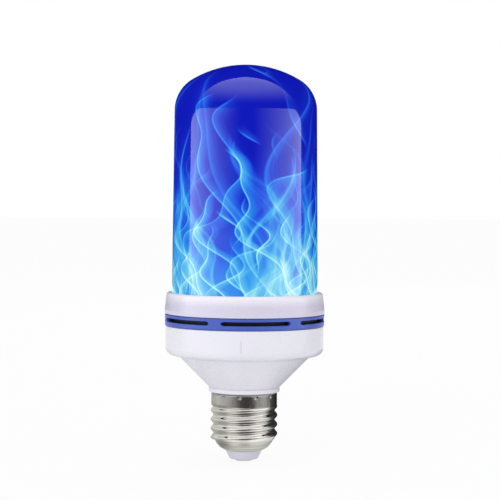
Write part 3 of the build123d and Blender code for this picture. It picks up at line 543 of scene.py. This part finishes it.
pearl = Finish("cool_white_moulding", IOR=1.46)
flow, fine = pearl.noise(9, 2), pearl.noise(0.5, 2)
# Painted highlight: the collar grows lighter towards its top, as if light from above falls on it.
painted_top_light = pearl.axis("Z").step(61.5, 66.0)
pearl_tone = pearl.mixed(flow, srgb(218, 213, 233), srgb(212, 208, 228))
pearl.surface(Base_Color=pearl.mixed(painted_top_light, pearl_tone, srgb(243, 240, 250)),
              Roughness=0.24 + 0.08 * fine, Normal=pearl.bumped(fine, 0.006, 0.6))
collar_corners = [(collar_groove_bore, z_ring_top, 0), (collar_foot_radius, z_ring_top, 0.25),
                  (collar_foot_radius, 59.7, 2.0), (collar_top_radius, z_collar_top, 0.9),
                  (collar_bore, z_collar_top, 0.25), (collar_bore, z_collar_shoulder, 0),
                  (collar_groove_bore, z_collar_shoulder, 0)]
wear(ring_piece("collar_rounded", collar_corners, collar_columns, 8),
     pearl.material, "white_housing", "upper_collar")

# Cover. A domed tube of clear plastic over a printed flame that the chips light from behind. The flame is
# thin curved veils of light, which heap up to a bright line where a veil folds, and five families of
# strands woven over them.
cover_columns = 372
cover_rows = 236
cover_rows_within = 16
cover_foot_radius = 28.7
cover_draft = np.radians(0.6)
z_cover_foot = 60.1
cover_side = 77.6
shoulder_radius = 14.0
crown_radius = 41.0
cover_wall = 1.6
rim_radius = 29.75
z_cover_rim = 61.8
round_way = 178.0
up_way = 108.0
glow_size = 5


def cover_profile(inset, rows):
    """The cover's profile from its foot to its apex, in equal steps of its length: a straight drafted side,
    then the shoulder's arc, then the crown's arc about a centre on the axis."""
    side_top = cover_foot_radius - cover_side * np.tan(cover_draft)
    shoulder = np.array([side_top - shoulder_radius * np.cos(cover_draft),
                         z_cover_foot + cover_side - shoulder_radius * np.sin(cover_draft)])
    drop = np.sqrt((crown_radius - shoulder_radius) ** 2 - shoulder[0] ** 2)
    crown = np.array([0, shoulder[1] - drop])
    meeting = np.arctan2(drop, shoulder[0])
    lengths = np.array([cover_side / np.cos(cover_draft),
                        (shoulder_radius - inset) * (meeting - cover_draft),
                        (crown_radius - inset) * (np.pi / 2 - meeting)])
    way = np.linspace(0, lengths.sum(), rows)
    foot = np.array([cover_foot_radius - inset / np.cos(cover_draft), z_cover_foot])
    side = foot + way[:, None] * np.array([-np.sin(cover_draft), np.cos(cover_draft)])
    first = cover_draft + (way - lengths[0]) / (shoulder_radius - inset)
    second = meeting + (way - lengths[0] - lengths[1]) / (crown_radius - inset)
    bend = shoulder + (shoulder_radius - inset) * np.stack([np.cos(first), np.sin(first)], axis=-1)
    top = crown + (crown_radius - inset) * np.stack([np.cos(second), np.sin(second)], axis=-1)
    part = np.searchsorted(np.cumsum(lengths)[:2], way)
    profile = np.choose(part[:, None], [side, bend, top])
    profile[-1, 0] = 0
    return profile, way


def veil(draw, start, foot, height, lean, sway, width, fold, turns, strength, across=260, along=620):
    """One veil: a strip that climbs from its foot, leans and sways as a sum of sines, and is turned about
    its middle line as it climbs, with a bowed cross-section. Gives where each of its grains of light falls,
    round and up the cover in millimetres, and how bright it is: brightest at its middle, nothing at its
    edges."""
    s = np.linspace(0, 1, along)[:, None]
    t = (np.linspace(-1, 1, across) + draw.uniform(-1, 1, across) / across)[None, :]
    p = draw.uniform(0, 2 * np.pi, 8)
    middle = (start + lean * s + sway * np.sin(1.6 * np.pi * s + p[0]) * (0.3 + 0.7 * s)
              + 0.3 * sway * np.sin(3.5 * np.pi * s + p[1]))
    spread = width * (0.85 * np.sin(np.pi * s ** 0.75) + 0.15 * (1 - s))
    facing = p[2] + turns * np.pi * s + 0.5 * np.sin(1.6 * np.pi * s + p[3])
    flat = t + 0.05 * np.sin(5.2 * np.pi * t + p[4] + 3 * s)
    bow = (fold * (t * t - 0.33) + 0.03 * np.sin(10.6 * np.pi * t + p[5] + 5 * s)
           + 0.25 * fold * np.sin(3.1 * t + p[6]))
    round_place = middle + spread * (np.cos(facing) * flat + np.sin(facing) * bow)
    up_place = foot + height * (s + 0.035 * np.sin(2 * t + p[7]) * np.sin(np.pi * s)) + 0 * t
    fade = np.clip(np.sin(np.pi * s ** 0.7), 0, 1) ** 0.8 * np.clip(1 - t * t, 0, 1) ** 1.2
    return round_place, up_place, strength * fade * width * height / (along * across)


def gathered(veils):
    """Adds up the grains of light on the cover's grid. Each is shared out between its four nearest points,
    by how near each is round and up, and the sum is over the area of one of the grid's cells."""
    light = np.zeros((cover_rows + 1) * cover_columns)
    for round_place, up_place, bright in veils:
        column = (round_place / round_way * cover_columns).ravel()
        row = (up_place / up_way * (cover_rows - 1)).ravel()
        bright = np.broadcast_to(bright, round_place.shape).ravel()
        kept = (row > 0) & (row < cover_rows - 1)
        column, row, bright = column[kept], row[kept], bright[kept]
        left, low = np.floor(column).astype(int), np.floor(row).astype(int)
        right_share, high_share = column - left, row - low
        for aside, above in ((0, 0), (1, 0), (0, 1), (1, 1)):
            share = abs(1 - aside - right_share) * abs(1 - above - high_share)
            point = (low + above) * cover_columns + (left + aside) % cover_columns
            light += np.bincount(point, bright * share, light.size)
    cell = (round_way / cover_columns) * (up_way / (cover_rows - 1))
    return light.reshape(-1, cover_columns)[:cover_rows] / cell


def woven(draw, strands, lean, sways, reach, gaps, gap_rise):
    """A family of strands that climb side by side. Its phase grows by one from strand to strand round the
    cover, is sheared by the lean and swung by sines of the sizes and rises given in millimetres. A strand is
    where the phase is whole. Gives how far each point is past its strand in millimetres, which is the sine
    of the phase over its slope, and how strong the strand is there: the root of the phase's cosine, times a
    soft step of slow sines less the gaps and less the height over the reach."""
    turn = np.arange(cover_columns) / cover_columns
    rise = way[:, None]
    phase = strands * (turn + lean * rise / round_way)
    for size, length in sways:
        swing = np.sin(2 * np.pi * (draw.integers(0, 4) * turn + rise / length + draw.uniform()))
        phase = phase + size * strands / round_way * swing
    slope = np.hypot(*np.gradient(phase, way[1], round_way / cover_columns))
    slow = sum(np.sin(2 * np.pi * (count * turn + rise / (gap_rise * length) + draw.uniform()))
               for count, length in ((1, 3), (3, -1.9), (5, 1.3), (8, -1))) / 4
    strong = ease(0, 0.45, 0.62 + 0.55 * slow - gaps - rise / reach)
    past = np.sin(2 * np.pi * phase) / (2 * np.pi * slope)
    return past, strong * np.clip(np.cos(2 * np.pi * phase), 0, 1) ** 0.5


def blurred(grid, size):
    """A bell-shaped blur by Fourier transform, round without end and mirrored at the top and bottom: each
    wave is damped by e to the power of less 2 times the square of pi times the size times its count."""
    tall = np.concatenate([grid[::-1], grid, grid[::-1]])
    round_wave, up_wave = np.fft.rfftfreq(tall.shape[1]), np.fft.fftfreq(tall.shape[0])[:, None]
    damping = np.exp(-2 * (np.pi * size) ** 2 * (round_wave ** 2 + up_wave ** 2))
    return np.fft.irfft2(np.fft.rfft2(tall) * damping, tall.shape)[len(grid):2 * len(grid)]


outer, way = cover_profile(0, cover_rows)
draw = np.random.default_rng(4)
kinds = (  # count, foot, height, lean, sway, width, turns, strength
    (9, (-6, 12), (55, 92), 26, (7, 13), (4, 9), (0.8, 1.8), 0.5),
    (20, (-12, 6), (40, 66), 26, (4, 9), (4, 10), (0.6, 1.5), 0.7),
    (34, (-16, -2), (24, 46), 34, (3, 7), (3, 9), (0.5, 1.4), 0.95),
    (18, (4, 40), (30, 55), 30, (6, 11), (1.0, 2.4), (1.2, 2.6), 0.6),
)
veils = [veil(draw, (number + draw.uniform(-0.4, 0.4)) * round_way / count, draw.uniform(*foot),
              draw.uniform(*height), draw.uniform(-lean, lean), draw.uniform(*sway), draw.uniform(*width),
              draw.uniform(0.5, 1.1), draw.uniform(*turns), strength)
         for count, foot, height, lean, sway, width, turns, strength in kinds
         for number in range(count)]
# The veils' light and a wide glow round it both saturate: one less e to the power of less their amount.
light = gathered(veils)
glow = np.clip(blurred(light, glow_size), 0, None)
flame = np.clip(0.6 * (1 - np.exp(-0.6 * light)) + 0.35 * (1 - np.exp(-0.8 * glow)), 0, 1)
families = (  # strands, lean, sways, reach, gaps, gap_rise
    (6, 0.2, ((9, 66), (3.5, 29)), 128, -0.02, 130),
    (7, -0.3, ((8, 58), (3, 25)), 118, 0.02, 120),
    (10, 0.45, ((5.5, 42), (2.5, 20)), 82, -0.04, 70),
    (11, -0.5, ((5, 38), (2.5, 18)), 76, -0.04, 65),
    (17, 0.2, ((3.5, 26), (1.5, 13)), 46, -0.1, 30),
)
grids = {"veil_light": flame}
for number, family in enumerate(families):
    grids[f"past_{number}"], grids[f"strand_{number}"] = woven(draw, *family)

# The skin runs down the inside from the apex, round the rim and up the outside. The inside and the rim
# carry no flame.
inner, _ = cover_profile(cover_wall, cover_rows_within)
rim = np.array([(rim_radius, z_cover_foot), (rim_radius, z_cover_rim), (28.68, z_cover_rim)])
above_rim = outer[:, 1] > z_cover_rim + 0.1
cover_line = np.concatenate([inner[::-1], rim, outer[above_rim]])
unlit = np.zeros((len(inner) + len(rim), cover_columns))
marks = {name: np.concatenate([unlit, grid[above_rim]]) for name, grid in grids.items()}

# Each family of strands lights a line along the strand and a fainter side past it. What is dark after all
# of them takes some light from the ground, low on the cover.
strand_lights = ((0.45, 0.26), (0.45, 0.26), (0.62, 0.34), (0.62, 0.34), (0.8, 0.3))
flame_stops = [(0.0, (17, 27, 186)), (0.1, (26, 58, 206)), (0.22, (39, 90, 229)), (0.38, (44, 125, 236)),
               (0.55, (66, 167, 241)), (0.7, (96, 193, 242)), (0.83, (140, 221, 247)),
               (0.93, (185, 243, 250)), (1.0, (225, 254, 252))]
half = (0.5, 0.5, 0.5)

glass = Finish("flame_lit_cover", IOR=1.45, Emission_Strength=1.0)
up = glass.axis("Z")
low = 1 - up.step(66, 120)
lowest = 1 - up.step(60, 98)
dark = 1 - glass.mark("veil_light")
for number, (bright, fill) in enumerate(strand_lights):
    past, strand = glass.mark(f"past_{number}"), glass.mark(f"strand_{number}")
    line = 1 - abs(past).step(0.06, 0.5)
    side = past.step(-0.15, 0.2) * (1 - past.step(0, 6))
    dark = dark * (1 - strand * line * bright) * (1 - strand * side * fill)
patches = glass.noise(13, 1, stretch=(1, 1, 1.8), shift=31.0).step(0.15, 0.6)
ground = (low * 0.2 + lowest * 0.28) * patches
level = 1 - dark * (1 - ground)
flame_ramp = {"stops": [(place, srgb(*colour)) for place, colour in flame_stops]}
flame_colour = glass.node("ShaderNodeValToRGB", flame_ramp, [level])
half_colour = glass.node("ShaderNodeVectorMath", {"operation": "MULTIPLY"}, [flame_colour, half])
glass.surface(Roughness=0.012 + 0.016 * glass.noise(1.5, 2), Base_Color=half_colour,
              Emission_Color=half_colour)
wear(skin("cover_flame", round_axis(cover_line[:, 0], cover_line[:, 1], cover_columns), **marks),
     glass.material, "blue_cover", "flame_cover")

# Studio. A pale floor under soft light, with cards and flags that only reflections see, and the camera at
# the photograph's place: a long lens 0.7 m away, above the lamp's middle and looking slightly down.
floor_half = 6.0
floor_share = 0.9
sky_level = 0.8
bpy.ops.mesh.primitive_plane_add(size=2 * floor_half)
floor = bpy.context.object
floor.name = "studio_floor"


def background_share(finish):
    """One where the camera, a reflection or a view through glass looks, and nought for light that falls on
    things: the three kinds of ray added up, and no more than one."""
    camera_ray, glossy_ray, glass_ray = (finish.node("ShaderNodeLightPath", output=name) for name in
                                         ("Is Camera Ray", "Is Glossy Ray", "Is Transmission Ray"))
    rays = camera_ray + glossy_ray + glass_ray
    return rays.reckon("MINIMUM", rays, 1.0)


pale = Finish("pale_floor", Base_Color=srgb(252, 252, 252), Roughness=0.9, Specular_IOR_Level=0.0)
plain_white = pale.node("ShaderNodeEmission", sockets=[(1, 1, 1, 1), 1.0])
matt = Wire(pale, pale.skin.outputs[0])
white_share = background_share(pale) * floor_share
pale.show(pale.node("ShaderNodeMixShader", sockets=[white_share, matt, plain_white]))
floor.data.materials.append(pale.material)

world = bpy.data.worlds.new("studio")
bpy.context.scene.world = world
world.use_nodes = True
sky = Finish("sky", world.node_tree)
seen = background_share(sky)
sky.feed(world.node_tree.nodes["Background"],
         {"Color": (1, 1, 1, 1), "Strength": seen + (1 - seen) * sky_level})


def bent(radii, azimuths, heights, columns):
    """Points of a sheet round the lamp, between two azimuths in degrees that are counted from the camera's
    side towards +X, with a radius and a height in millimetres for each row: x is the radius times the sine
    of the azimuth, and y is less the radius times its cosine."""
    turn = np.radians(np.linspace(*azimuths, columns))
    radii = np.array(radii, float)[:, None]
    heights = np.array(heights, float).reshape(len(radii), -1)
    return np.stack([radii * np.sin(turn), -radii * np.cos(turn), heights + 0 * turn], axis=-1)


def card(name, points, shine):
    """A sheet that only reflections see. shine turns the way along its columns and its rows, each from
    nought to one, into its light."""
    rows, columns = points.shape[:2]
    number = np.arange(rows * columns).reshape(rows, columns)
    faces = np.stack([number[:-1, :-1], number[:-1, 1:], number[1:, 1:], number[1:, :-1]], axis=-1)
    mesh = bpy.data.meshes.new(name)
    mesh.from_pydata(points.reshape(-1, 3) * MM, [], faces.reshape(-1, 4))
    light = shine(*np.meshgrid(np.linspace(0, 1, columns), np.linspace(0, 1, rows)))
    values = mesh.attributes.new("shine", "FLOAT", "POINT").data
    values.foreach_set("value", light.astype(np.float32).ravel())
    finish = Finish(name)
    finish.show(finish.node("ShaderNodeEmission", sockets=[(1, 1, 1, 1), finish.mark("shine")]))
    mesh.materials.append(finish.material)
    made = bpy.data.objects.new(name, mesh)
    bpy.context.scene.collection.objects.link(made)
    made.visible_camera = made.visible_diffuse = made.visible_shadow = made.visible_transmission = False


# The softboxes. The cover's draft lifts what it mirrors, by more at the front than at the sides, and their
# upper edges follow that with the cosine of half the azimuth, so that the cover shows them level.
softbox_radius = 700
softbox_rows, softbox_columns = 120, 160
z_softbox_foot = 10
z_softbox_top = 170.6
draft_lift = 14.7
side_level = 4.0
corner_width, corner_height = 0.42, 0.1


def side_light(along, up):
    """A softbox's light: full at its outer edge and less towards the front, by the power 1.3 of the way
    left. The upper outer corner is rounded like a quarter of an ellipse, and is dark outside it."""
    aside = np.clip(1 - along / corner_width, 0, None)
    above = np.clip(1 - (1 - up) / corner_height, 0, None)
    return side_level * (1 - along) ** 1.3 * (1 - ease(0.97, 1.03, np.hypot(aside, above)))


softbox_rise = np.linspace(0, 1, softbox_rows)[:, None]
for name, azimuths in (("left_softbox", (-96.5, -7)), ("right_softbox", (98.5, 11))):
    half_azimuth = np.radians(np.linspace(*azimuths, softbox_columns)) / 2
    top = z_softbox_top + draft_lift * np.cos(half_azimuth)
    heights = z_softbox_foot + softbox_rise * (top - z_softbox_foot)
    card(name, bent(np.full(softbox_rows, softbox_radius), azimuths, heights, softbox_columns), side_light)

# The overhead card is part of a ball about the lamp. aside runs from left to right, and tip turns from the
# rear over the top and down to the front, starting further over towards both sides.
overhead_radius = 900
overhead_middle = 140
overhead_level = 2.15
aside = np.sin(np.radians(np.linspace(-84, 84, 96)))
girth = overhead_radius * np.sqrt(1 - aside ** 2)
tip = np.radians(64 + 40 * abs(aside) + np.linspace(0, 1, 80)[:, None] * (104 - 40 * abs(aside)))
overhead_points = np.stack([overhead_radius * aside + 0 * tip, girth * np.cos(tip),
                            overhead_middle + girth * np.sin(tip)], axis=-1)


def overhead_light(along, up):
    """The overhead card's light: a soft step of its height's angle, which sets in sharply at the rear and
    dies away down to the front."""
    angle = np.degrees(np.arcsin((overhead_points[..., 2] - overhead_middle) / overhead_radius))
    return overhead_level * ease(12, 72, angle)


card("overhead_card", overhead_points, overhead_light)

# The sleeve and the disc round the cap, each lit by lines of knots: an azimuth in degrees and its light.
# The cap's end and the thread's undersides see the disc; the crests, the band and the upper flanks see the
# sleeve.
end_knots = ((-180, 0.65), (-90, 0.8), (-60, 0.85), (-30, 0.98), (0, 1.12), (30, 1.05), (60, 0.9),
             (90, 0.8), (180, 0.6))
under_knots = ((-180, 0.5), (-110, 0.45), (-85, 0.34), (-60, 0.42), (-42, 0.85), (-28, 1.1), (-4, 0.65),
               (10, 0.65), (28, 1.05), (66, 1.05), (84, 0.85), (118, 0.7), (150, 0.6), (180, 0.5))
low_knots = ((-180, 0.5), (-120, 0.5), (-92, 0.44), (-66, 0.46), (-48, 0.62), (-28, 0.4), (-10, 0.1),
             (16, 0.07), (26, 0.17), (35, 0.35), (45, 0.6), (68, 0.66), (80, 0.5), (92, 0.14), (102, 0.03),
             (150, 0.03), (165, 0.5), (180, 0.5))
band_knots = ((-180, 0.5), (-120, 0.7), (-88, 0.95), (-62, 0.75), (-45, 0.65), (-28, 0.4), (-10, 0.1),
              (16, 0.07), (26, 0.17), (35, 0.32), (45, 0.5), (55, 0.62), (66, 0.62), (78, 0.38), (90, 0.12),
              (118, 0.03), (150, 0.03), (165, 0.5), (180, 0.5))
high_knots = ((-180, 0.5), (-100, 0.6), (-70, 0.85), (-25, 1.0), (-5, 0.3), (12, 0.3), (32, 1.15),
              (75, 1.15), (88, 0.2), (100, 0.03), (150, 0.03), (165, 0.5), (180, 0.5))
whole_turn = (-180, 180)
sleeve_radius = 36
z_sleeve = (0.5, 43)
z_disc = 0.3


def by_azimuth(knots, along):
    """A light read off a line of knots, straight between each two."""
    return np.interp(360 * along - 180, *zip(*knots))


def sleeve_light(along, up):
    """The sleeve's light: a line of knots below, one level with the cap's band, and one above, with a soft
    step from each to the next."""
    below, beside, above = (by_azimuth(knots, along) for knots in (low_knots, band_knots, high_knots))
    return below + (beside - below) * ease(0.36, 0.46, up) + (above - beside) * ease(0.56, 0.72, up)


def disc_light(along, up):
    """The disc's light from its middle to its rim: a line of knots that the cap's end sees, then one for the
    thread's undersides, and the sleeve's lowest at the rim, with a soft step from each to the next."""
    inside, under, outside = (by_azimuth(knots, along) for knots in (end_knots, under_knots, low_knots))
    return inside + (under - inside) * ease(0.2, 0.36, up) + (outside - under) * ease(0.6, 0.95, up)


card("cap_sleeve", bent(np.full(40, sleeve_radius), whole_turn, np.linspace(*z_sleeve, 40), 181),
     sleeve_light)
card("cap_reflector", bent(np.linspace(2, sleeve_radius, 24), whole_turn, np.full(24, z_disc), 181),
     disc_light)
card("dark_tent", bent((1100, 1100, 1), whole_turn, (12, 1150, 1150), 97), lambda along, up: 0 * along)

lamp_aim = (0, 0, 0.08)


def lamp(name, place, size, power):
    """A square soft light that looks at the middle of the lamp."""
    light = bpy.data.lights.new(name, "AREA")
    light.size, light.energy = size, power
    made = bpy.data.objects.new(name, light)
    made.location = place
    made.rotation_euler = (Vector(lamp_aim) - Vector(place)).to_track_quat("-Z", "Y").to_euler()
    made.visible_glossy = False
    bpy.context.scene.collection.objects.link(made)


lamp("key", place=(-0.5, -1.1, 0.45), size=0.7, power=3.5)
lamp("back_fill", place=(0.7, 1.0, 0.5), size=0.7, power=1.5)

camera_place = (0.00196, -0.700, 0.1065)
look_down = np.radians(1.93)
camera_roll = np.radians(0.36)
camera = bpy.data.objects.new("camera", bpy.data.cameras.new("camera"))
bpy.context.scene.collection.objects.link(camera)
bpy.context.scene.camera = camera
camera.data.lens = 128.4
camera.data.sensor_width = 36
camera.data.clip_start = 0.01
camera.matrix_world = (Matrix.Translation(camera_place) @ Matrix.Rotation(np.pi / 2 - look_down, 4, "X")
                       @ Matrix.Rotation(camera_roll, 4, "Z"))

bpy.context.scene.view_settings.view_transform = "Standard"
